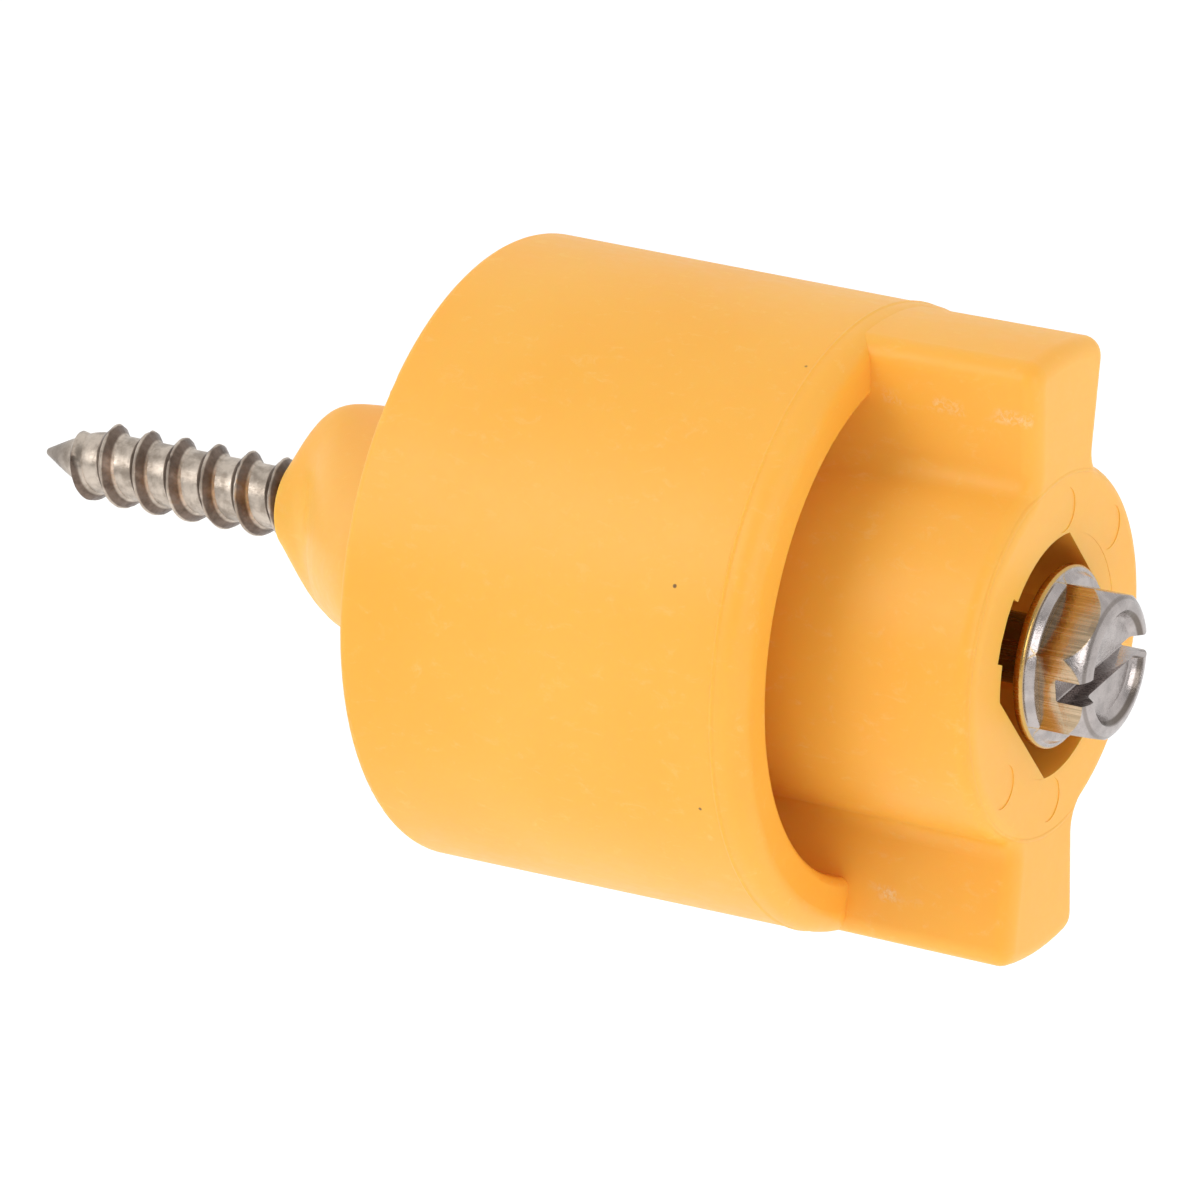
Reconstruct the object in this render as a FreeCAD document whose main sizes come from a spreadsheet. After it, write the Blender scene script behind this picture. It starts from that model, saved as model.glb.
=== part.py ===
import FreeCAD, Part
import math
import os
import Sketcher

# Screw-on fence insulator: a one-piece moulded body and the hex washer head wood screw through it.
# X runs along the screw, out of the post towards the head. Z runs through the two wings.
# The origin is the middle of the nose's flat end, which stands against the post.

doc = FreeCAD.newDocument("fence_insulator")

DIMENSIONS = [
    ("nose_length", 13.6),
    ("drum_length", 24.8),
    ("drum_back_radius", 17.8),
    ("drum_front_radius", 17.5),
    ("drum_wall", 3.2),
    ("cavity_draft", 0.4),
    ("back_wall", 3.0),
    ("back_edge_round", 0.5),
    ("rim_outer_round", 1.3),
    ("rim_inner_round", 0.5),
    ("hub_radius", 10.6),
    ("hub_reach", 10.0),
    ("wing_radius", 17.42),
    ("web_root_half", 3.4),
    ("web_tip_half", 4.3),
    ("web_root_circle", 8.0),
    ("web_corner_round", 1.2),
    ("web_hub_fillet", 1.4),
    ("front_edge_round", 1.0),
    ("socket_radius", 6.85),
    ("socket_flat", 5.36),
    ("socket_flat_half", 5.0),
    ("socket_turn", 135.0),
    ("socket_depth", 8.0),
    ("socket_floor_gap", 0.02),
    ("bay_radius", 7.45),
    ("bay_overlap", 0.4),
    ("bay_start", 49.0),
    ("bay_end", 80.0),
    ("bay_corner", 1.5),
    ("bore_radius", 2.45),
    ("bore_overrun", 1.0),
    ("bead_height", 0.07),
    ("bead_half_width", 0.14),
    ("bead_setback", 1.7),
    ("pin_mark_radius", 1.25),
    ("pin_mark_depth", 0.05),
    ("pin_mark_circle", 8.25),
    ("screw_lead", 17.6),
    ("point_length", 3.5),
    ("core_radius", 1.8),
    ("shank_radius", 1.95),
    ("shank_step_length", 0.8),
    ("crest_radius", 2.4),
    ("crest_width", 0.16),
    ("thread_root_width", 1.6),
    ("thread_root_sink", 0.2),
    ("thread_pitch", 2.32),
    ("thread_start", -1.04),
    ("thread_length", 42.0),
    ("thread_tip_radius", 0.5),
    ("thread_taper_length", 4.2),
    ("flange_seat", 48.2),
    ("flange_radius", 5.1),
    ("flange_thickness", 0.62),
    ("flange_edge_round", 0.2),
    ("hex_flats", 7.94),
    ("hex_height", 3.3),
    ("hex_turn", 12.0),
    ("hex_sink", 0.1),
    ("boss_foot_radius", 4.8),
    ("boss_top_radius", 4.5),
    ("boss_height", 0.45),
    ("crown_clearance", 0.5),
    ("dish_radius", 3.15),
    ("dish_floor_radius", 2.7),
    ("dish_depth", 0.65),
    ("slot_width", 1.35),
    ("slot_depth", 1.85),
    ("slot_turn", 98.0),
]

# The nose's oval sections: distance from its end, half height, half width.
NOSE_SECTIONS = [
    (0.0, 2.85, 2.85),
    (0.5, 3.80, 2.88),
    (1.1, 4.80, 2.98),
    (1.9, 5.72, 3.30),
    (2.8, 6.25, 4.05),
    (3.7, 6.40, 5.25),
    (4.8, 6.36, 6.90),
    (6.5, 6.26, 9.00),
    (8.8, 6.14, 11.35),
    (11.2, 6.04, 13.45),
    (13.6, 5.95, 15.50),
]

# The rounded crown that trims the hexagon's corners: depth below the head's top, radius.
HEAD_CROWN = [
    (0.0, 3.3),
    (0.1, 3.68),
    (0.36, 4.05),
    (1.02, 4.44),
    (1.57, 4.62),
]

PIN_MARK_TURNS = (0, 135, 180, 315)
NOSE_STEPS = 32

sheet = doc.addObject("Spreadsheet::Sheet", "dims")
for row, (alias, value) in enumerate(DIMENSIONS, start=1):
    sheet.set("A%d" % row, alias)
    sheet.set("B%d" % row, str(value))
    sheet.setAlias("B%d" % row, alias)
doc.recompute()

RIM = "(dims.nose_length + dims.drum_length)"
FACE = "(dims.nose_length + dims.drum_length + dims.hub_reach)"
CORE_START = "(dims.nose_length + dims.back_wall / 2)"
HEAD_TOP = "(dims.flange_seat + dims.flange_thickness + dims.hex_height)"


def dim(alias):
    return float(getattr(sheet, alias))


def number(formula):
    """The value of a sheet formula, used only to start a sketch near its solved shape."""
    result = sheet.evalExpression(formula)
    return float(getattr(result, "Value", result))


def origin_plane(body, role):
    for feature in body.Origin.OriginFeatures:
        if feature.Role == role:
            return feature
    raise ValueError(role)


def new_sketch(body, name, role, offset=None):
    sketch = body.newObject("Sketcher::SketchObject", name)
    sketch.AttachmentSupport = [(origin_plane(body, role), "")]
    sketch.MapMode = "FlatFace"
    if offset is not None:
        sketch.setExpression("AttachmentOffset.Base.z", offset)
    doc.recompute()
    return sketch


def bind_point(sketch, line, end, along, across):
    for kind, formula in (("DistanceX", along), ("DistanceY", across)):
        start = number(formula)
        index = sketch.addConstraint(Sketcher.Constraint(kind, -1, 1, line, end, start))
        sketch.setExpression("Constraints[%d]" % index, formula)


def draw_outline(sketch, corners):
    """Adds one closed outline of straight runs through (along, across) sheet formulas."""
    first = sketch.GeometryCount
    count = len(corners)
    points = [FreeCAD.Vector(number(along), number(across), 0) for along, across in corners]
    for i in range(count):
        sketch.addGeometry(Part.LineSegment(points[i], points[(i + 1) % count]), False)
    for i in range(count):
        following = first + (i + 1) % count
        sketch.addConstraint(Sketcher.Constraint("Coincident", first + i, 2, following, 1))
    for i, (along, across) in enumerate(corners):
        bind_point(sketch, first + i, 1, along, across)
    doc.recompute()


def draw_circle(sketch, along, across, radius):
    centre = FreeCAD.Vector(number(along), number(across), 0)
    normal = FreeCAD.Vector(0, 0, 1)
    circle = sketch.addGeometry(Part.Circle(centre, normal, number(radius)), False)
    bind_point(sketch, circle, 3, along, across)
    index = sketch.addConstraint(Sketcher.Constraint("Radius", circle, number(radius)))
    sketch.setExpression("Constraints[%d]" % index, radius)
    doc.recompute()


def revolve(body, sketch, name, kind="PartDesign::Revolution"):
    feature = body.newObject(kind, name)
    feature.Profile = sketch
    feature.ReferenceAxis = (sketch, ["H_Axis"])
    feature.Angle = 360.0
    sketch.Visibility = False
    doc.recompute()
    return feature


def pad(body, sketch, name, length, reverse=False):
    feature = body.newObject("PartDesign::Pad", name)
    feature.Profile = sketch
    feature.setExpression("Length", length)
    feature.Reversed = reverse
    doc.recompute()
    return feature


def pocket(body, sketch, name, depth, reverse=False):
    before = body.Shape.Volume
    feature = body.newObject("PartDesign::Pocket", name)
    feature.Profile = sketch
    feature.setExpression("Length", depth)
    feature.Reversed = reverse
    doc.recompute()
    if body.Shape.Volume > before - 0.01:
        raise ValueError("%s cut nothing" % name)
    return feature


def edges_where(shape, test):
    names = []
    for i, edge in enumerate(shape.Edges, start=1):
        if test(edge):
            names.append("Edge%d" % i)
    return names


def fillet(body, name, radius, test):
    base = body.Tip
    names = edges_where(base.Shape, test)
    if not names:
        raise ValueError("%s found no edge" % name)
    feature = body.newObject("PartDesign::Fillet", name)
    feature.Base = (base, names)
    feature.setExpression("Radius", radius)
    doc.recompute()
    return feature


def is_ring_at(edge, place, radius):
    box = edge.BoundBox
    flat = box.XLength < 0.001 and abs(box.XMin - place) < 0.01
    middle = edge.valueAt((edge.FirstParameter + edge.LastParameter) / 2)
    return flat and abs(math.hypot(middle.y, middle.z) - radius) < 0.05


# ---------------------------------------------------------------- moulded drum, hub and wings

def build_drum_profile(body):
    """Drum and back wall, turned about X, with the mould's parting bead round the rim."""
    bead = RIM + " - dims.bead_setback"
    slope = "(dims.drum_back_radius - dims.drum_front_radius) / dims.drum_length"
    bead_radius = "dims.drum_front_radius + dims.bead_setback * " + slope
    cavity_floor = "dims.nose_length + dims.back_wall"
    sketch = new_sketch(body, "drum_profile", "XY_Plane")
    draw_outline(sketch, [
        ("dims.nose_length", "0"),
        ("dims.nose_length", "dims.drum_back_radius"),
        (bead + " - dims.bead_half_width", bead_radius),
        (bead, bead_radius + " + dims.bead_height"),
        (bead + " + dims.bead_half_width", bead_radius),
        (RIM, "dims.drum_front_radius"),
        (RIM, "dims.drum_front_radius - dims.drum_wall"),
        (cavity_floor, "dims.drum_front_radius - dims.drum_wall - dims.cavity_draft"),
        (cavity_floor, "0"),
    ])
    revolve(body, sketch, "drum_turned")


def round_rim(body):
    rim = number(RIM)
    outer = dim("drum_front_radius")
    inner = outer - dim("drum_wall")
    back = dim("nose_length")
    fillet(body, "rim_outer_edge", "dims.rim_outer_round", lambda e: is_ring_at(e, rim, outer))
    fillet(body, "rim_inner_edge", "dims.rim_inner_round", lambda e: is_ring_at(e, rim, inner))
    fillet(body, "back_edge", "dims.back_edge_round",
           lambda e: is_ring_at(e, back, dim("drum_back_radius")))


def add_hub(body):
    """The middle column, from inside the back wall to the front face."""
    sketch = new_sketch(body, "hub_outline", "YZ_Plane", CORE_START)
    draw_circle(sketch, "0", "0", "dims.hub_radius")
    pad(body, sketch, "hub", FACE + " - " + CORE_START)


def add_wings(body):
    """Two wings from the hub to the drum's outside, one up and one down, through the cavity."""
    tip = "sqrt(dims.wing_radius ^ 2 - dims.web_tip_half ^ 2)"
    sketch = new_sketch(body, "wing_outline", "YZ_Plane", CORE_START)
    for side in ("1", "-1"):
        draw_wing(sketch, side, tip)
    pad(body, sketch, "wings", FACE + " - " + CORE_START)


def draw_wing(sketch, side, tip):
    """A wing that widens outwards and ends on an arc about the screw."""
    first = sketch.GeometryCount
    root = side + " * dims.web_root_circle"
    end = side + " * " + tip
    corners = [
        ("dims.web_tip_half", end),
        ("dims.web_root_half", root),
        ("-dims.web_root_half", root),
        ("-dims.web_tip_half", end),
    ]
    points = [FreeCAD.Vector(number(along), number(across), 0) for along, across in corners]
    for i in range(3):
        sketch.addGeometry(Part.LineSegment(points[i], points[i + 1]), False)
    crown = FreeCAD.Vector(0, float(side) * dim("wing_radius"), 0)
    ends = (points[0], points[3]) if side == "1" else (points[3], points[0])
    sketch.addGeometry(Part.Arc(ends[0], crown, ends[1]), False)
    arc = first + 3
    arc_left, arc_right = (2, 1) if side == "1" else (1, 2)
    for i in range(2):
        sketch.addConstraint(Sketcher.Constraint("Coincident", first + i, 2, first + i + 1, 1))
    sketch.addConstraint(Sketcher.Constraint("Coincident", first + 2, 2, arc, arc_left))
    sketch.addConstraint(Sketcher.Constraint("Coincident", arc, arc_right, first, 1))
    sketch.addConstraint(Sketcher.Constraint("Coincident", arc, 3, -1, 1))
    for i in range(3):
        bind_point(sketch, first + i, 1, *corners[i])
    index = sketch.addConstraint(
        Sketcher.Constraint("DistanceX", -1, 1, first + 2, 2, -dim("web_tip_half")))
    sketch.setExpression("Constraints[%d]" % index, "-dims.web_tip_half")
    doc.recompute()


def is_along_x(edge):
    box = edge.BoundBox
    return box.YLength < 0.01 and box.ZLength < 0.01 and box.XLength > 1


def round_wings(body):
    """Rounds the wings' outer corners, their roots on the hub and the front outline."""
    reach = dim("wing_radius")
    hub = dim("hub_radius")
    face = number(FACE)

    def runs_at(edge, radius):
        middle = edge.valueAt((edge.FirstParameter + edge.LastParameter) / 2)
        off_axis = abs(math.hypot(middle.y, middle.z) - radius) < 0.05
        return is_along_x(edge) and off_axis and edge.BoundBox.XMax > face - 1

    fillet(body, "wing_corners", "dims.web_corner_round", lambda e: runs_at(e, reach))
    fillet(body, "wing_roots", "dims.web_hub_fillet", lambda e: runs_at(e, hub))

    def on_front_outline(edge):
        box = edge.BoundBox
        return box.XLength < 0.001 and abs(box.XMin - face) < 0.01

    fillet(body, "front_edge", "dims.front_edge_round", on_front_outline)


def turned(radius, degrees):
    """A point of a YZ sketch, turned from the upper wing towards the -Y side, as sheet formulas."""
    return "-(%s) * sin((%s) * 1 deg)" % (radius, degrees), "(%s) * cos((%s) * 1 deg)" % (radius, degrees)


def draw_flat(sketch, middle, near, far):
    """One straight side of the socket: a block from its face outwards into the hub."""
    def corner(distance, side):
        reach = "sqrt((%s) ^ 2 + dims.socket_flat_half ^ 2)" % distance
        lean = "atan(dims.socket_flat_half / (%s)) / 1 deg" % distance
        return turned(reach, "%s %s %s" % (middle, side, lean))

    draw_outline(sketch, [corner(near, "-"), corner(far, "-"), corner(far, "+"), corner(near, "+")])


def draw_bay(sketch, side):
    """A shallow widening of the socket's round wall."""
    start = "dims.bay_start + %d" % side
    end = "dims.bay_end + %d" % side
    third = "(dims.bay_end - dims.bay_start) / 3"
    inner = "dims.socket_radius - dims.bay_overlap"
    draw_outline(sketch, [
        turned(inner, start),
        turned("dims.bay_radius", start + " + dims.bay_corner"),
        turned("dims.bay_radius", start + " + " + third),
        turned("dims.bay_radius", end + " - " + third),
        turned("dims.bay_radius", end + " - dims.bay_corner"),
        turned(inner, end),
    ])


def cut_socket(body):
    """The pocket that the screw head sinks into: round, with two flats and two shallow bays."""
    floor = FACE + " - dims.socket_depth"
    height = "dims.socket_depth - dims.socket_floor_gap"
    sketch = new_sketch(body, "socket_outline", "YZ_Plane", FACE)
    draw_circle(sketch, "0", "0", "dims.socket_radius")
    pocket(body, sketch, "socket_round", "dims.socket_depth")
    sketch = new_sketch(body, "socket_bays", "YZ_Plane", FACE)
    for side in (0, 180):
        draw_bay(sketch, side)
    pocket(body, sketch, "socket_bay_cuts", height)
    sketch = new_sketch(body, "socket_flats", "YZ_Plane", floor)
    for side in (0, 180):
        middle = "dims.socket_turn + %d" % side
        draw_flat(sketch, middle, "dims.socket_flat", "dims.socket_radius + dims.bay_overlap")
    pad(body, sketch, "socket_flat_sides", height)


def mark_pins(body):
    """Shallow round marks that the mould's ejector pins leave on the front face."""
    sketch = new_sketch(body, "pin_marks", "YZ_Plane", FACE)
    for degrees in PIN_MARK_TURNS:
        along, across = turned("dims.pin_mark_circle", str(degrees))
        draw_circle(sketch, along, across, "dims.pin_mark_radius")
    pocket(body, sketch, "pin_mark_dips", "dims.pin_mark_depth")


def nose_section(place, half_height, half_width):
    """The nose's cross-section at one place along X, a closed smooth oval."""
    points = []
    for step in range(NOSE_STEPS):
        turn = 2.0 * math.pi * step / NOSE_STEPS
        across = half_width * math.cos(turn)
        points.append(FreeCAD.Vector(place, across, half_height * math.sin(turn)))
    curve = Part.BSplineCurve()
    curve.interpolate(points, PeriodicFlag=True)
    return Part.Wire(curve.toShape())


def build_nose():
    """The standoff nose: small and round at the post, a wide oval where it meets the drum."""
    nose = doc.addObject("Part::Feature", "nose")
    nose.Shape = Part.makeLoft([nose_section(*row) for row in NOSE_SECTIONS], True, False)
    return nose


drum = doc.addObject("PartDesign::Body", "drum")
build_drum_profile(drum)
round_rim(drum)

core = doc.addObject("PartDesign::Body", "hub_and_wings")
add_hub(core)
add_wings(core)
round_wings(core)
cut_socket(core)
mark_pins(core)

nose = build_nose()

moulding = doc.addObject("Part::MultiFuse", "moulding")
moulding.Shapes = [drum, core, nose]

bore = doc.addObject("Part::Cylinder", "screw_bore")
bore.Placement = FreeCAD.Placement(FreeCAD.Vector(), FreeCAD.Rotation(FreeCAD.Vector(0, 1, 0), 90))
bore.setExpression("Placement.Base.x", "-dims.bore_overrun")
bore.setExpression("Radius", "dims.bore_radius")
bore.setExpression("Height", FACE + " + 2 * dims.bore_overrun")

insulator = doc.addObject("Part::Cut", "insulator_body")
insulator.Base = moulding
insulator.Tool = bore
insulator.Label = "insulator_body"
doc.recompute()


# ---------------------------------------------------------------- wood screw

THREAD_END = "(dims.thread_length - dims.screw_lead)"
FLANGE_TOP = "(dims.flange_seat + dims.flange_thickness)"


def build_shank(body):
    """Point, thread core, plain shank and the washer face that is forged with the head."""
    sketch = new_sketch(body, "shank_profile", "XY_Plane")
    draw_outline(sketch, [
        ("-dims.screw_lead", "0"),
        ("dims.point_length - dims.screw_lead", "dims.core_radius"),
        (THREAD_END, "dims.core_radius"),
        (THREAD_END + " + dims.shank_step_length", "dims.shank_radius"),
        ("dims.flange_seat", "dims.shank_radius"),
        ("dims.flange_seat", "dims.flange_radius"),
        (FLANGE_TOP, "dims.flange_radius"),
        (FLANGE_TOP, "dims.boss_foot_radius"),
        (FLANGE_TOP + " + dims.boss_height", "dims.boss_top_radius"),
        (FLANGE_TOP + " + dims.boss_height", "0"),
    ])
    revolve(body, sketch, "shank_turned")
    seat = dim("flange_seat")
    top = seat + dim("flange_thickness")
    radius = dim("flange_radius")
    fillet(body, "flange_edges", "dims.flange_edge_round",
           lambda e: is_ring_at(e, seat, radius) or is_ring_at(e, top, radius))


def build_head(body):
    """Hexagon with a rounded crown, a dished top inside a raised rim, and a driver slot."""
    sketch = new_sketch(body, "hex_outline", "YZ_Plane", FLANGE_TOP + " - dims.hex_sink")
    corner_radius = "dims.hex_flats / sqrt(3)"
    draw_outline(sketch, [turned(corner_radius, "dims.hex_turn + %d" % (60 * i)) for i in range(6)])
    pad(body, sketch, "hex_head", "dims.hex_height + dims.hex_sink")

    above = HEAD_TOP + " + dims.crown_clearance"
    beyond = corner_radius + " + dims.crown_clearance"
    crown = [(HEAD_TOP + " - %g" % depth, "%g" % radius) for depth, radius in HEAD_CROWN]
    sketch = new_sketch(body, "crown_profile", "XY_Plane")
    draw_outline(sketch, crown + [
        (crown[-1][0], beyond),
        (above, beyond),
        (above, crown[0][1]),
    ])
    revolve(body, sketch, "head_crown", "PartDesign::Groove")

    sketch = new_sketch(body, "dish_profile", "XY_Plane")
    draw_outline(sketch, [
        (above, "0"),
        (HEAD_TOP + " - dims.dish_depth", "0"),
        (HEAD_TOP + " - dims.dish_depth", "dims.dish_floor_radius"),
        (HEAD_TOP, "dims.dish_radius"),
        (above, "dims.dish_radius"),
    ])
    revolve(body, sketch, "head_dish", "PartDesign::Groove")

    sketch = new_sketch(body, "slot_outline", "YZ_Plane", HEAD_TOP)
    half = "dims.slot_width / 2"
    reach = "sqrt(dims.flange_radius ^ 2 + (%s) ^ 2)" % half
    lean = "atan(%s / dims.flange_radius) / 1 deg" % half
    draw_outline(sketch, [
        turned(reach, "dims.slot_turn - " + lean),
        turned(reach, "dims.slot_turn + " + lean),
        turned(reach, "dims.slot_turn + 180 - " + lean),
        turned(reach, "dims.slot_turn + 180 + " + lean),
    ])
    pocket(body, sketch, "driver_slot", "dims.slot_depth")


def along_screw(beyond=None):
    """Turns a shape built up the Z axis so that it runs along the screw, from its point."""
    start = -dim("screw_lead") + (dim(beyond) if beyond else 0.0)
    return FreeCAD.Placement(
        FreeCAD.Vector(start, 0, 0), FreeCAD.Rotation(FreeCAD.Vector(0, 1, 0), 90))


def build_thread():
    """The helical thread, trimmed to taper at the point and to run out on the shank."""
    path = doc.addObject("Part::Helix", "thread_path")
    path.setExpression("Pitch", "dims.thread_pitch")
    path.setExpression("Height", "dims.thread_length - dims.thread_start")
    path.setExpression("Radius", "dims.core_radius")
    path.Placement = along_screw("thread_start")

    profile = doc.addObject("Sketcher::SketchObject", "thread_profile")
    upright = FreeCAD.Placement(FreeCAD.Vector(), FreeCAD.Rotation(FreeCAD.Vector(1, 0, 0), 90))
    profile.Placement = along_screw("thread_start").multiply(upright)
    root = "dims.core_radius - dims.thread_root_sink"
    draw_outline(profile, [
        (root, "-dims.thread_root_width / 2"),
        ("dims.crest_radius", "-dims.crest_width / 2"),
        ("dims.crest_radius", "dims.crest_width / 2"),
        (root, "dims.thread_root_width / 2"),
    ])

    ridge = doc.addObject("Part::Sweep", "thread_ridge")
    ridge.Sections = [profile]
    ridge.Spine = (path, [])
    ridge.Solid = True
    ridge.Frenet = True

    point = doc.addObject("Part::Cone", "thread_point_trim")
    point.Placement = along_screw()
    point.setExpression("Radius1", "dims.thread_tip_radius")
    point.setExpression("Radius2", "dims.crest_radius")
    point.setExpression("Height", "dims.thread_taper_length")

    straight = doc.addObject("Part::Cylinder", "thread_straight_trim")
    straight.Placement = along_screw("thread_taper_length")
    straight.setExpression("Radius", "dims.crest_radius")
    straight.setExpression(
        "Height", "dims.thread_length - dims.thread_taper_length - dims.crest_radius")

    run_out = doc.addObject("Part::Cone", "thread_run_out_trim")
    run_out.Placement = along_screw()
    run_out.setExpression("Placement.Base.x", THREAD_END + " - dims.crest_radius")
    run_out.setExpression("Radius1", "dims.crest_radius")
    run_out.setExpression("Radius2", "dims.core_radius - dims.thread_root_sink / 2")
    run_out.setExpression("Height", "dims.crest_radius")

    trim = doc.addObject("Part::MultiFuse", "thread_trim")
    trim.Shapes = [point, straight, run_out]

    thread = doc.addObject("Part::Common", "thread")
    thread.Base = ridge
    thread.Tool = trim
    doc.recompute()
    return thread


blank = doc.addObject("PartDesign::Body", "screw_blank")
build_shank(blank)
build_head(blank)

screw = doc.addObject("Part::Fuse", "wood_screw")
screw.Base = blank
screw.Tool = build_thread()
screw.Label = "wood_screw"
doc.recompute()


# ---------------------------------------------------------------- checks and files

for thing in doc.Objects:
    if "Invalid" in thing.State or "Error" in thing.State:
        raise ValueError("%s is %s" % (thing.Name, thing.State))

os.makedirs("parts", exist_ok=True)
for node in (insulator, screw):
    if node.Shape.isNull() or not node.Shape.isValid() or len(node.Shape.Solids) != 1:
        raise ValueError("%s is not one valid solid" % node.Label)
    node.Shape.exportStep("parts/%s.step" % node.Label)
    print(node.Label, round(node.Shape.Volume, 1), "mm3")
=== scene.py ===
import math
import bmesh
import bpy
from mathutils import Matrix, Quaternion, Vector, noise


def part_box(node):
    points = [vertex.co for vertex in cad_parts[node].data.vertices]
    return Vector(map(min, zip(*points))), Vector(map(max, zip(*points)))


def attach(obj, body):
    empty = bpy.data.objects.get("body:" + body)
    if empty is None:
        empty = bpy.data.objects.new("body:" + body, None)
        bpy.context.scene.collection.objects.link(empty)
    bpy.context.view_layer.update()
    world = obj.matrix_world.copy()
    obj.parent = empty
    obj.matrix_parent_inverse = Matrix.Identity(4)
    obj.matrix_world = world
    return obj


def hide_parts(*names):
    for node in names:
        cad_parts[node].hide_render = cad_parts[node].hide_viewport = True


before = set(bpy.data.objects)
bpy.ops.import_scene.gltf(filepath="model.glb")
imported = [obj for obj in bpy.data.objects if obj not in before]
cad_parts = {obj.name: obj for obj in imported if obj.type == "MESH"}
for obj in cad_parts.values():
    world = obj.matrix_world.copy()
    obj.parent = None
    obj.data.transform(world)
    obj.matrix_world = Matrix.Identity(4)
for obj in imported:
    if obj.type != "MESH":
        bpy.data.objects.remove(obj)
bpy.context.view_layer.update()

MM = 0.001

_, BODY_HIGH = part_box("insulator_body")
SCREW_LOW, SCREW_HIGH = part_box("wood_screw")

# Places along the screw, in millimetres from the nose's end.
FRONT_FACE = BODY_HIGH[0] / MM
SCREW_TIP = SCREW_LOW[0] / MM
HEAD_TOP = SCREW_HIGH[0] / MM

HEX_HEIGHT = 3.3
FLANGE_THICKNESS = 0.62
FLANGE_TOP = HEAD_TOP - HEX_HEIGHT
FLANGE_SEAT = FLANGE_TOP - FLANGE_THICKNESS
FLANGE_RADIUS = 5.1
HEX_FLATS = 7.94
HEX_TURN = 12.0
SLOT_TURN = 98.0
SLOT_WIDTH = 1.35
SLOT_DEPTH = 1.85
CORE_RADIUS = 1.8
SHANK_RADIUS = 1.95
CREST_RADIUS = 2.4
THREAD_PITCH = 2.32
THREAD_START = SCREW_TIP - 1.04
THREAD_END = SCREW_TIP + 42.0
THREAD_STEPS = 56
TAPER_LENGTH = 4.2
RUN_OUT_LENGTH = 2.4
POINT_LENGTH = 3.5
# The bore's radius is 2.45, so the crests stay inside it.
CREST_LIMIT = CREST_RADIUS + 0.01

# Small dark flecks of burnt plastic in the drum's surface.
DARK_SPECKS = ((36.2, -7.4, 16.0), (33.8, -16.7, 5.6), (35.6, -16.3, -6.7))


# ---------------------------------------------------------------- mesh helpers

def turn_profile(corners, steps):
    """Spins an outline of (along, radius, rounding, segments) about the screw's axis."""
    mesh = bmesh.new()
    points = [mesh.verts.new((along, 0.0, radius)) for along, radius, _, _ in corners]
    outline = mesh.faces.new(points)
    for point, (_, _, rounding, segments) in zip(points, corners):
        if rounding:
            bmesh.ops.bevel(
                mesh, geom=[point], affect="VERTICES", offset=rounding, offset_type="OFFSET",
                segments=segments, profile=0.5, material=-1, clamp_overlap=True)
    bmesh.ops.delete(mesh, geom=mesh.faces[:], context="FACES_ONLY")
    on_axis = [e for e in mesh.edges if all(abs(v.co.z) < 1e-6 for v in e.verts)]
    bmesh.ops.delete(mesh, geom=on_axis, context="EDGES_FACES")
    bmesh.ops.spin(
        mesh, geom=mesh.verts[:] + mesh.edges[:], cent=(0, 0, 0), axis=(1, 0, 0),
        angle=2.0 * math.pi, steps=steps, use_merge=True, use_duplicate=False)
    bmesh.ops.remove_doubles(mesh, verts=mesh.verts, dist=1e-4)
    bmesh.ops.recalc_face_normals(mesh, faces=mesh.faces)
    return mesh


def add_piece(name, mesh, scale=MM):
    """Makes an object from a mesh drawn in millimetres and puts it in the scene."""
    bmesh.ops.scale(mesh, vec=(scale, scale, scale), verts=mesh.verts)
    data = bpy.data.meshes.new(name)
    mesh.to_mesh(data)
    mesh.free()
    piece = bpy.data.objects.new(name, data)
    bpy.context.scene.collection.objects.link(piece)
    return piece


def cut_with(piece, tools, operation):
    """Applies exact cuts to a piece, one tool after another, and throws the tools away."""
    for tool in tools:
        cut = piece.modifiers.new("cut", "BOOLEAN")
        cut.operation = operation
        cut.solver = "EXACT"
        cut.object = tool
        bpy.context.view_layer.update()
        shape = bpy.data.meshes.new_from_object(
            piece.evaluated_get(bpy.context.evaluated_depsgraph_get()))
        piece.modifiers.clear()
        piece.data = shape
        bpy.data.objects.remove(tool)


def smooth_by_angle(mesh, degrees):
    """Smooth shading, with a crisp edge wherever two faces meet at more than the angle."""
    limit = math.radians(degrees)
    for face in mesh.faces:
        face.smooth = True
    for edge in mesh.edges:
        if len(edge.link_faces) == 2:
            edge.smooth = edge.calc_face_angle(0.0) < limit


# ---------------------------------------------------------------- the screw

def shank_mesh():
    """Point, thread core, plain shank, washer face and the low boss under the hexagon."""
    boss_top = FLANGE_TOP + 0.45
    return turn_profile([
        (SCREW_TIP, 0.0, 0.0, 1),
        (SCREW_TIP + 0.1, 0.2, 0.08, 2),
        (SCREW_TIP + 1.9, 1.12, 0.5, 3),
        (SCREW_TIP + POINT_LENGTH, CORE_RADIUS, 0.6, 3),
        (THREAD_END, CORE_RADIUS, 0.3, 2),
        (THREAD_END + 0.8, SHANK_RADIUS, 0.3, 2),
        (FLANGE_SEAT, SHANK_RADIUS, 0.25, 4),
        (FLANGE_SEAT, FLANGE_RADIUS, 0.24, 5),
        (FLANGE_TOP, FLANGE_RADIUS, 0.22, 5),
        (FLANGE_TOP, 4.78, 0.1, 3),
        (boss_top, 4.52, 0.1, 3),
        (boss_top, 0.0, 0.0, 1),
    ], 128)


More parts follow.
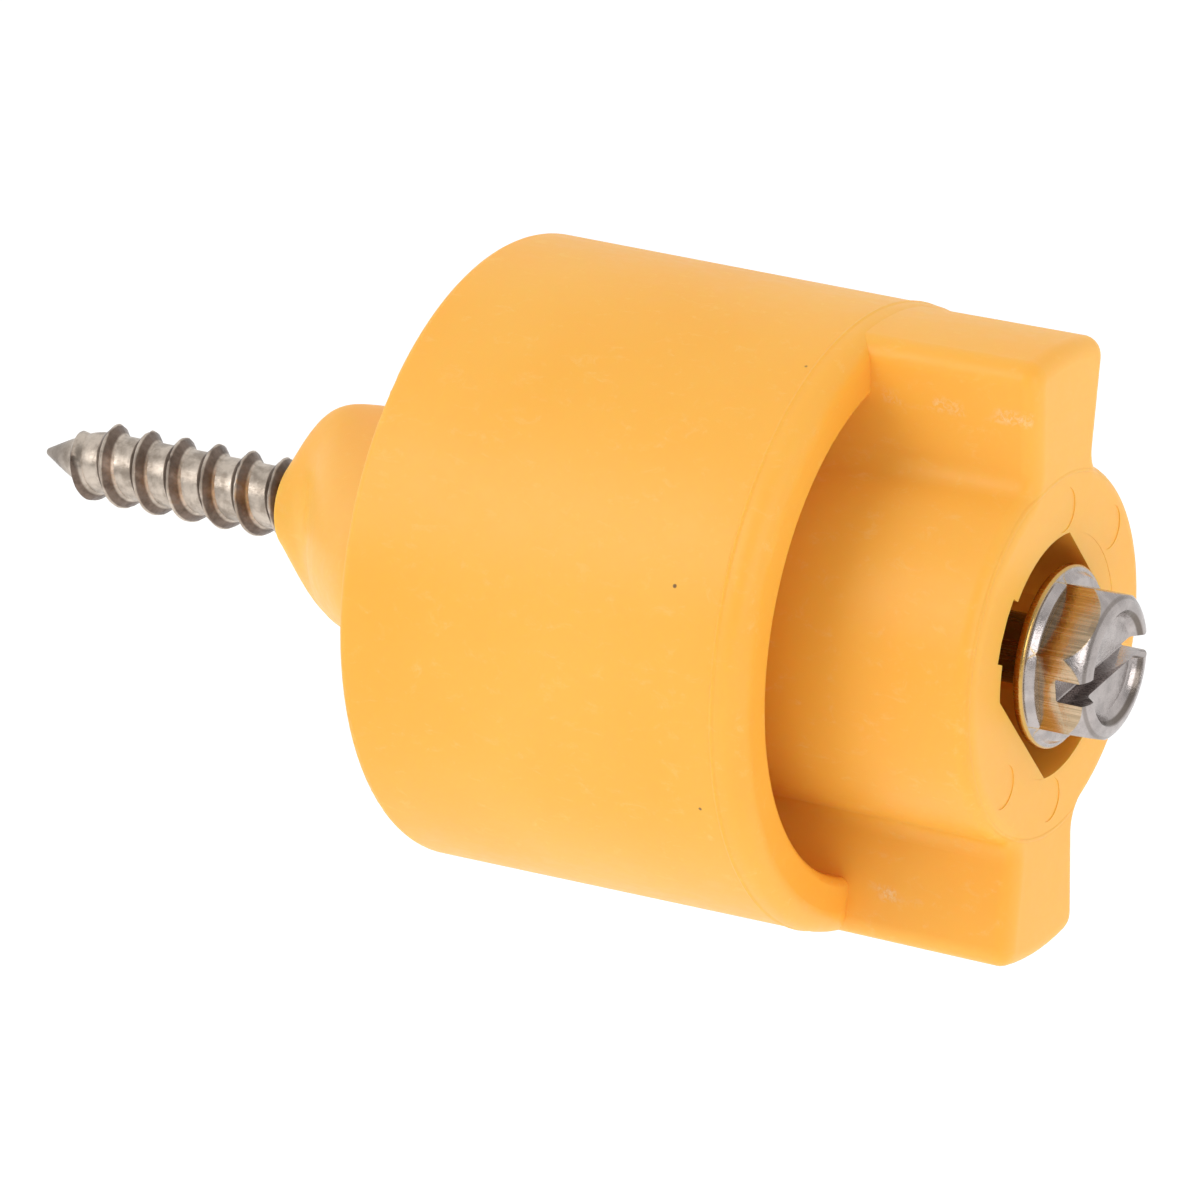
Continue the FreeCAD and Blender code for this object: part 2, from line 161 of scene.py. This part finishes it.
def thread_mesh():
    """The helical ridge: it grows out of the point, has slightly ragged crests and runs out."""
    mesh = bmesh.new()
    root = CORE_RADIUS - 0.2
    ridge = [
        (-0.80, root),
        (-0.42, CREST_RADIUS - 0.40),
        (-0.05, CREST_RADIUS - 0.01),
        (0.0, CREST_RADIUS + 0.01),
        (0.05, CREST_RADIUS - 0.01),
        (0.42, CREST_RADIUS - 0.40),
        (0.80, root),
    ]
    points = [mesh.verts.new((THREAD_START + along, 0.0, -radius)) for along, radius in ridge]
    for first, second in zip(points, points[1:] + points[:1]):
        mesh.edges.new((first, second))
    turns = (THREAD_END - THREAD_START) / THREAD_PITCH
    steps = int(turns * THREAD_STEPS)
    bmesh.ops.spin(
        mesh, geom=mesh.verts[:] + mesh.edges[:], cent=(0, 0, 0), axis=(1, 0, 0),
        dvec=(THREAD_PITCH / THREAD_STEPS, 0, 0), angle=2.0 * math.pi * steps / THREAD_STEPS,
        steps=steps, use_merge=False, use_duplicate=False)
    ends = [e for e in mesh.edges if len(e.link_faces) == 1]
    bmesh.ops.holes_fill(mesh, edges=ends, sides=0)
    for vert in mesh.verts:
        shape_thread_point(vert, root)
    bmesh.ops.remove_doubles(mesh, verts=mesh.verts, dist=0.002)
    bmesh.ops.dissolve_degenerate(mesh, edges=mesh.edges, dist=0.002)
    bmesh.ops.recalc_face_normals(mesh, faces=mesh.faces)
    return mesh


def shape_thread_point(vert, root):
    """Lets the ridge grow from the point, nicks its crest and sinks it at its end."""
    along = vert.co.x
    radius = math.hypot(vert.co.y, vert.co.z)
    grow = min(max((along - SCREW_TIP + 0.3) / TAPER_LENGTH, 0.0), 1.0)
    fade = min(max((THREAD_END - along) / RUN_OUT_LENGTH, 0.0), 1.0)
    core = min(max((along - SCREW_TIP) / POINT_LENGTH, 0.02), 1.0) * CORE_RADIUS
    height = (radius - root) * grow ** 0.7 * fade
    if radius > CREST_RADIUS - 0.1:
        spot = Vector((along * 1.7, math.atan2(vert.co.y, vert.co.z) * 2.6, 3.0))
        height -= 0.10 * max(noise.noise(spot) + 0.1, 0.0) * grow
        height -= 0.40 * max(noise.noise(spot * 2.3) - 0.30, 0.0) * grow
    wanted = min(max(core - 0.2, 0.02) + height, CREST_LIMIT)
    vert.co.y *= wanted / radius
    vert.co.z *= wanted / radius
    vert.co.x = max(along, SCREW_TIP + 0.05)


def head_mesh():
    """Hexagon under a rounded crown with a raised rim and a dish, cut across by the slot."""
    crown = add_piece("crown", turn_profile([
        (FLANGE_TOP + 0.2, 0.0, 0.0, 1),
        (FLANGE_TOP + 0.2, 5.0, 0.0, 1),
        (HEAD_TOP - 1.72, 4.74, 0.3, 3),
        (HEAD_TOP - 1.02, 4.46, 0.25, 3),
        (HEAD_TOP - 0.36, 4.06, 0.25, 4),
        (HEAD_TOP - 0.10, 3.68, 0.14, 4),
        (HEAD_TOP, 3.34, 0.12, 4),
        (HEAD_TOP, 3.22, 0.08, 3),
        (HEAD_TOP - 0.26, 2.98, 0.14, 4),
        (HEAD_TOP - 0.38, 2.88, 0.08, 3),
        (HEAD_TOP - 0.62, 2.68, 0.16, 4),
        (HEAD_TOP - 0.65, 0.0, 0.0, 1),
    ], 160), 1.0)
    cut_with(crown, [hexagon_block()], "INTERSECT")
    cut_with(crown, [slot_block()], "DIFFERENCE")
    mesh = bmesh.new()
    mesh.from_mesh(crown.data)
    bpy.data.objects.remove(crown)
    bmesh.ops.remove_doubles(mesh, verts=mesh.verts, dist=0.004)
    bmesh.ops.dissolve_degenerate(mesh, edges=mesh.edges, dist=0.004)
    limit = math.radians(24.0)
    sharp = [e for e in mesh.edges if len(e.link_faces) == 2 and e.calc_face_angle(0.0) > limit]
    bmesh.ops.bevel(
        mesh, geom=sharp, affect="EDGES", offset=0.05, offset_type="OFFSET", segments=2,
        profile=0.5, material=-1, clamp_overlap=True)
    bmesh.ops.recalc_face_normals(mesh, faces=mesh.faces)
    return mesh


def hexagon_block():
    """A six-sided bar, long enough to pass through the crown."""
    mesh = bmesh.new()
    corner = HEX_FLATS / math.sqrt(3.0)
    bmesh.ops.create_cone(
        mesh, cap_ends=True, segments=6, radius1=corner, radius2=corner, depth=8.0)
    upright = Matrix.Rotation(math.pi / 2, 3, "Y")
    bmesh.ops.rotate(mesh, verts=mesh.verts, cent=(0, 0, 0), matrix=upright)
    place_across(mesh, HEX_TURN)
    bmesh.ops.translate(mesh, verts=mesh.verts, vec=(FLANGE_TOP + 2.0, 0, 0))
    return add_piece("hexagon", mesh, 1.0)


def place_across(mesh, degrees):
    """Turns a shape about the screw so that its first corner points the given way."""
    corner = max(mesh.verts, key=lambda v: (round(v.co.z, 4), v.co.x)).co
    now = math.atan2(-corner.y, corner.z)
    turn = Matrix.Rotation(math.radians(degrees) - now, 3, "X")
    bmesh.ops.rotate(mesh, verts=mesh.verts, cent=(0, 0, 0), matrix=turn)


def slot_block():
    """The straight bar that cuts the driver slot, its floor corners very slightly rounded."""
    mesh = bmesh.new()
    bmesh.ops.create_cube(mesh, size=1.0)
    bmesh.ops.scale(mesh, vec=(2.0 * SLOT_DEPTH, 12.0, SLOT_WIDTH), verts=mesh.verts)
    along = [e for e in mesh.edges if abs(e.verts[0].co.y - e.verts[1].co.y) > 1.0]
    bmesh.ops.bevel(
        mesh, geom=along, affect="EDGES", offset=0.12, offset_type="OFFSET", segments=3,
        profile=0.5, material=-1, clamp_overlap=True)
    turn = Matrix.Rotation(math.radians(SLOT_TURN - 90.0), 3, "X")
    bmesh.ops.rotate(mesh, verts=mesh.verts, cent=(0, 0, 0), matrix=turn)
    bmesh.ops.translate(mesh, verts=mesh.verts, vec=(HEAD_TOP, 0, 0))
    return add_piece("slot", mesh, 1.0)


def build_screw():
    """The hex washer head screw: one piece of three closed shells that overlap."""
    whole = bmesh.new()
    for part in (shank_mesh(), thread_mesh(), head_mesh()):
        smooth_by_angle(part, 32.0)
        data = bpy.data.meshes.new("part")
        part.to_mesh(data)
        part.free()
        whole.from_mesh(data)
        bpy.data.meshes.remove(data)
    piece = add_piece("hex_washer_screw", whole)
    piece.data.materials.append(plated_steel())
    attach(piece, "screw")
    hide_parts("wood_screw")


# ---------------------------------------------------------------- material helpers

class Finish:
    """A material with one shader and short ways to add and join nodes."""

    def __init__(self, name):
        self.material = bpy.data.materials.new(name)
        self.material.use_nodes = True
        self.tree = self.material.node_tree
        self.shader = self.tree.nodes["Principled BSDF"]
        place = self.add("ShaderNodeTexCoord")
        self.coordinates = place.outputs["Object"]

    def add(self, kind, **settings):
        node = self.tree.nodes.new(kind)
        for key, value in settings.items():
            setattr(node, key, value)
        return node

    def join(self, source, target):
        self.tree.links.new(source, target)

    def mapped(self, scale, location=(0.0, 0.0, 0.0), rotation=(0.0, 0.0, 0.0)):
        """Object coordinates, scaled from metres."""
        node = self.add("ShaderNodeMapping")
        node.inputs["Scale"].default_value = scale
        node.inputs["Location"].default_value = location
        node.inputs["Rotation"].default_value = rotation
        self.join(self.coordinates, node.inputs["Vector"])
        return node.outputs["Vector"]

    def noise(self, vector, scale, detail=3.0, roughness=0.5, distortion=0.0):
        node = self.add("ShaderNodeTexNoise")
        node.inputs["Scale"].default_value = scale
        node.inputs["Detail"].default_value = detail
        node.inputs["Roughness"].default_value = roughness
        node.inputs["Distortion"].default_value = distortion
        self.join(vector, node.inputs["Vector"])
        return node.outputs["Fac"]

    def calculate(self, operation, first, second):
        node = self.add("ShaderNodeMath", operation=operation)
        for socket, value in zip(node.inputs, (first, second)):
            if isinstance(value, float):
                socket.default_value = value
            else:
                self.join(value, socket)
        return node.outputs["Value"]

    def parts(self, vector):
        """The three parts of a vector."""
        node = self.add("ShaderNodeSeparateXYZ")
        self.join(vector, node.inputs["Vector"])
        return node.outputs

    def from_axis(self):
        """Distance from the screw's axis, in millimetres."""
        node = self.add("ShaderNodeVectorMath", operation="LENGTH")
        self.join(self.mapped((0.0, 1000.0, 1000.0)), node.inputs[0])
        return node.outputs["Value"]

    def between(self, value, low, high, first=0.0, second=1.0):
        """Goes smoothly from one amount to another as a value passes from low to high."""
        node = self.add("ShaderNodeMapRange", interpolation_type="SMOOTHSTEP")
        node.inputs["From Min"].default_value = low
        node.inputs["From Max"].default_value = high
        node.inputs["To Min"].default_value = first
        node.inputs["To Max"].default_value = second
        self.join(value, node.inputs["Value"])
        return node.outputs["Result"]

    def stripe(self, value, centre, half, soft):
        """One near a centre value and nothing further away, with soft edges."""
        away = self.calculate("ABSOLUTE", self.calculate("SUBTRACT", value, centre), 0.0)
        return self.between(away, half, half + soft, 1.0, 0.0)

    def across(self, vector, way):
        """How far to either side along one way."""
        node = self.add("ShaderNodeVectorMath", operation="DOT_PRODUCT")
        self.join(vector, node.inputs[0])
        node.inputs[1].default_value = way
        return self.calculate("ABSOLUTE", node.outputs["Value"], 0.0)

    def near(self, vector, place, reach):
        """One within a small distance of a place, nothing outside it."""
        node = self.add("ShaderNodeVectorMath", operation="DISTANCE")
        self.join(vector, node.inputs[0])
        node.inputs[1].default_value = place
        return self.between(node.outputs["Value"], reach * 0.6, reach, 1.0, 0.0)

    def blend(self, factor, first, second):
        """Mixes two colours, each a tuple or a node's output."""
        node = self.add("ShaderNodeMix", data_type="RGBA")
        self.join(factor, node.inputs["Factor"])
        for socket, colour in ((node.inputs[6], first), (node.inputs[7], second)):
            if isinstance(colour, tuple):
                socket.default_value = (*colour, 1.0)
            else:
                self.join(colour, socket)
        return node.outputs[2]

    def bump(self, height, distance, strength=1.0, under=None):
        node = self.add("ShaderNodeBump")
        node.inputs["Strength"].default_value = strength
        node.inputs["Distance"].default_value = distance
        self.join(height, node.inputs["Height"])
        if under is not None:
            self.join(under, node.inputs["Normal"])
        return node.outputs["Normal"]

    def put(self, socket, value):
        """A fixed value on the shader's own socket, or a pattern joined to it."""
        if isinstance(value, (float, tuple)):
            self.shader.inputs[socket].default_value = value
        else:
            self.join(value, self.shader.inputs[socket])


# ---------------------------------------------------------------- materials

def plated_steel():
    """Bright zinc plate with painted light: brush-streaked flats tinted warm brown as a painted
    reflection, a painted gold reflection on the washer edge, painted shade in the crown's creases, a
    shank darkened partly as duller plate and partly as painted shade, and threads with painted shade on
    the flanks and painted highlight on the crests.
    """
    steel = Finish("bright_zinc_plate")
    millimetres = steel.mapped((1000.0, 1000.0, 1000.0))
    streaks = steel.noise(steel.mapped((260.0, 11000.0, 11000.0)), 1.0, 3.0, 0.6)
    patches = steel.noise(millimetres, 0.9, 4.0, 0.6)
    fine = steel.noise(millimetres, 5.0, 5.0, 0.65)
    away = steel.from_axis()
    along = steel.parts(millimetres)["X"]

    patchy = steel.between(patches, 0.35, 0.65)
    # Brush streaks on the flats, tinted warm brown as a painted reflection.
    brushed_and_reflection = steel.blend(steel.between(streaks, 0.35, 0.65), (0.36, 0.27, 0.17), (0.56, 0.43, 0.29))
    head = steel.blend(patchy, (0.47, 0.425, 0.41), (0.36, 0.325, 0.315))
    for side in range(3):
        turn = math.radians(HEX_TURN + 30.0 + 60.0 * side)
        out = (0.0, -math.sin(turn), math.cos(turn))
        flat = steel.stripe(steel.across(millimetres, out), HEX_FLATS / 2.0, 0.02, 0.03)
        head = steel.blend(flat, head, brushed_and_reflection)
    crown_only = steel.between(along, HEAD_TOP - 0.7, HEAD_TOP - 0.6)
    # Painted shade: dark rings in the creases of the crown's raised rim and dish.
    for place, half, shade in ((3.06, 0.07, 0.85), (3.88, 0.05, 0.5)):
        crease_shade = steel.calculate("MULTIPLY", steel.stripe(away, place, half, 0.09), shade)
        crease_shade = steel.calculate("MULTIPLY", crease_shade, crown_only)
        head = steel.blend(crease_shade, head, (0.13, 0.105, 0.085))
    # Painted reflection: a gold band around the washer's rim, standing in for the orange plastic
    # mirrored there.
    edge = steel.stripe(away, FLANGE_RADIUS, 0.07, 0.12)
    head = steel.blend(edge, head, (0.58, 0.36, 0.11))
    core = steel.blend(patchy, (0.60, 0.52, 0.44), (0.33, 0.275, 0.225))
    # Painted shade on the thread's flanks and painted highlight on its crests.
    flank_shade = steel.blend(patchy, (0.20, 0.15, 0.12), (0.11, 0.080, 0.062))
    crest = steel.blend(patchy, (0.62, 0.54, 0.46), (0.38, 0.31, 0.25))
    thread = steel.blend(steel.between(away, 1.86, 1.98), core, flank_shade)
    thread = steel.blend(steel.between(away, 2.29, 2.38), thread, crest)
    # Below the washer the shank is darker: partly duller plating, partly painted shade from the socket.
    shank_plate_and_shade = steel.between(along, FLANGE_SEAT - 0.15, FLANGE_SEAT, 1.0, 0.0)
    head = steel.blend(shank_plate_and_shade, head, (0.20, 0.175, 0.155))
    on_thread = steel.between(along, 25.0, 28.0, 1.0, 0.0)
    tip = steel.between(along, SCREW_TIP + 1.0, SCREW_TIP + 3.2, 0.55, 0.0)
    thread = steel.blend(tip, thread, (0.12, 0.10, 0.09))
    steel.put("Base Color", steel.blend(on_thread, head, thread))
    steel.put("Metallic", 1.0)
    smooth = steel.between(streaks, 0.3, 0.7, 0.16, 0.30)
    worn = steel.between(fine, 0.3, 0.7, 0.30, 0.48)
    rough = steel.add("ShaderNodeMix")
    steel.join(on_thread, rough.inputs["Factor"])
    steel.join(smooth, rough.inputs[2])
    steel.join(worn, rough.inputs[3])
    steel.put("Roughness", rough.outputs[0])
    normal = steel.bump(streaks, 0.000012, 0.5)
    normal = steel.bump(fine, 0.00002, 0.5, normal)
    steel.put("Normal", steel.bump(patches, 0.00005, 0.3, normal))
    return steel.material


def moulded_plastic():
    """Warm orange-yellow polyethylene: flow flecks, a few dark specks, pale scuffs, soft gloss, and a
    front face made paler as painted light.
    """
    plastic = Finish("orange_polyethylene")
    millimetres = plastic.mapped((1000.0, 1000.0, 1000.0))
    place = plastic.parts(millimetres)
    away = plastic.from_axis()
    broad = plastic.noise(millimetres, 0.05, 2.0, 0.5)
    flecks = plastic.noise(plastic.mapped((600.0, 1000.0, 1000.0)), 1.1, 8.0, 0.74, 0.5)
    scratches = plastic.noise(millimetres, 3.2, 6.0, 0.7, 0.8)

    deep = (0.945, 0.435, 0.045)
    fresh = (0.965, 0.480, 0.070)
    tone = plastic.blend(plastic.between(broad, 0.3, 0.7), deep, fresh)
    tone = plastic.blend(plastic.between(flecks, 0.53, 0.76, 0.0, 0.5), tone, (0.99, 0.60, 0.19))
    # Painted light: the front face is made paler, as though lit as evenly as the sides.
    lit_front_face = plastic.between(place["X"], FRONT_FACE - 0.5, FRONT_FACE, 0.0, 0.5)
    tone = plastic.blend(lit_front_face, tone, (0.97, 0.50, 0.095))
    height = plastic.calculate("ABSOLUTE", place["Z"], 0.0)
    width = plastic.calculate("ABSOLUTE", place["Y"], 0.0)
    scuff = plastic.stripe(height, 14.1, 0.15, 0.45)
    scuff = plastic.calculate("MULTIPLY", scuff, plastic.between(width, 3.7, 3.9))
    scuff = plastic.calculate("MULTIPLY", scuff, plastic.between(place["X"], 38.9, 39.6))
    rubbed = plastic.noise(plastic.mapped((420.0, 420.0, 420.0), (3.1, 0.4, 0.0)), 1.0, 1.0, 0.5)
    scuff = plastic.calculate("MULTIPLY", scuff, plastic.between(rubbed, 0.40, 0.58))
    scuff = plastic.calculate("MULTIPLY", scuff, plastic.between(scratches, 0.40, 0.66, 0.0, 0.62))
    tone = plastic.blend(scuff, tone, (1.0, 0.74, 0.42))
    for spot in DARK_SPECKS:
        tone = plastic.blend(plastic.near(millimetres, spot, 0.16), tone, (0.20, 0.10, 0.03))
    plastic.put("Base Color", tone)
    plastic.put("Roughness", plastic.between(flecks, 0.3, 0.7, 0.38, 0.50))
    plastic.put("IOR", 1.42)
    plastic.put("Subsurface Weight", 0.32)
    plastic.put("Subsurface Radius", (1.0, 0.35, 0.08))
    plastic.put("Subsurface Scale", 0.0018)
    line = plastic.stripe(away, 10.2, 0.03, 0.10)
    on_front = plastic.between(place["X"], FRONT_FACE - 0.4, FRONT_FACE - 0.3)
    line = plastic.calculate("MULTIPLY", line, on_front)
    normal = plastic.bump(line, 0.00005, 0.8)
    normal = plastic.bump(plastic.noise(millimetres, 6.0, 4.0, 0.6), 0.000008, 0.35, normal)
    normal = plastic.bump(scuff, 0.00005, 0.6, normal)
    plastic.put("Normal", plastic.bump(plastic.noise(millimetres, 0.22, 2.0, 0.5), 0.0002, 0.35, normal))
    return plastic.material


def finish_body():
    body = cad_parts["insulator_body"]
    material = moulded_plastic()
    for place in range(len(body.material_slots)):
        body.material_slots[place].material = material


# ---------------------------------------------------------------- studio

def add_camera():
    """A long lens from the front right and a little above, turned slightly on its axis."""
    azimuth = math.radians(29.39)
    elevation = math.radians(17.75)
    roll = math.radians(1.88)
    aim = Vector((19.55, 0.67, -2.40)) * MM
    distance = 379.6 * MM
    back = Vector((
        math.sin(azimuth) * math.cos(elevation),
        -math.cos(azimuth) * math.cos(elevation),
        math.sin(elevation),
    ))
    data = bpy.data.cameras.new("studio_camera")
    data.sensor_width = 36.0
    data.lens = 202.4
    data.clip_start = 0.01
    data.clip_end = 20.0
    camera = bpy.data.objects.new("studio_camera", data)
    camera.location = aim + back * distance
    camera.rotation_mode = "QUATERNION"
    camera.rotation_quaternion = (-back).to_track_quat("-Z", "Y") @ Quaternion((0, 0, 1), roll)
    bpy.context.scene.collection.objects.link(camera)
    bpy.context.scene.camera = camera


def add_light(name, place, size, power):
    """A square soft box that faces the part's middle."""
    data = bpy.data.lights.new(name, "AREA")
    data.shape = "SQUARE"
    data.size = size
    data.energy = power
    light = bpy.data.objects.new(name, data)
    light.location = place
    light.rotation_mode = "QUATERNION"
    light.rotation_quaternion = (Vector((0.02, 0.0, 0.0)) - Vector(place)).to_track_quat("-Z", "Y")
    bpy.context.scene.collection.objects.link(light)


def add_world():
    """Bright surroundings that darken behind the viewer, with a white backdrop behind the part."""
    world = bpy.data.worlds.new("studio")
    world.use_nodes = True
    tree = world.node_tree
    background = tree.nodes["Background"]
    place = tree.nodes.new("ShaderNodeTexCoord")
    facing = tree.nodes.new("ShaderNodeVectorMath")
    facing.operation = "DOT_PRODUCT"
    facing.inputs[1].default_value = (0.35, -0.93, 0.0)
    shade = tree.nodes.new("ShaderNodeMapRange")
    shade.interpolation_type = "SMOOTHSTEP"
    shade.inputs["From Min"].default_value = -0.1
    shade.inputs["From Max"].default_value = 0.75
    shade.inputs["To Min"].default_value = 0.95
    shade.inputs["To Max"].default_value = 0.36
    seen = tree.nodes.new("ShaderNodeLightPath")
    choose = tree.nodes.new("ShaderNodeMix")
    choose.inputs[3].default_value = 1.0
    tree.links.new(place.outputs["Generated"], facing.inputs[0])
    tree.links.new(facing.outputs["Value"], shade.inputs["Value"])
    tree.links.new(shade.outputs["Result"], choose.inputs[2])
    tree.links.new(seen.outputs["Is Camera Ray"], choose.inputs["Factor"])
    tree.links.new(choose.outputs[0], background.inputs["Color"])
    bpy.context.scene.world = world


def add_floor():
    """A plain white floor, well below the part, so that it throws no shadow."""
    mesh = bmesh.new()
    bmesh.ops.create_grid(mesh, x_segments=1, y_segments=1, size=6.0)
    bmesh.ops.translate(mesh, verts=mesh.verts, vec=(0, 0, -0.3))
    floor = add_piece("floor", mesh, 1.0)
    white = Finish("white_floor")
    white.put("Base Color", (0.9, 0.9, 0.9, 1.0))
    white.put("Roughness", 0.9)
    white.put("Emission Color", (1.0, 1.0, 1.0, 1.0))
    white.put("Emission Strength", 0.34)
    floor.data.materials.append(white.material)


def add_studio():
    bpy.context.scene.view_settings.view_transform = "Standard"
    add_world()
    add_camera()
    add_floor()
    add_light("left_soft_box", (-0.35, -0.62, 0.40), 0.45, 2.1)
    add_light("right_soft_box", (0.66, -0.38, 0.28), 0.40, 1.5)


add_studio()
build_screw()
finish_body()
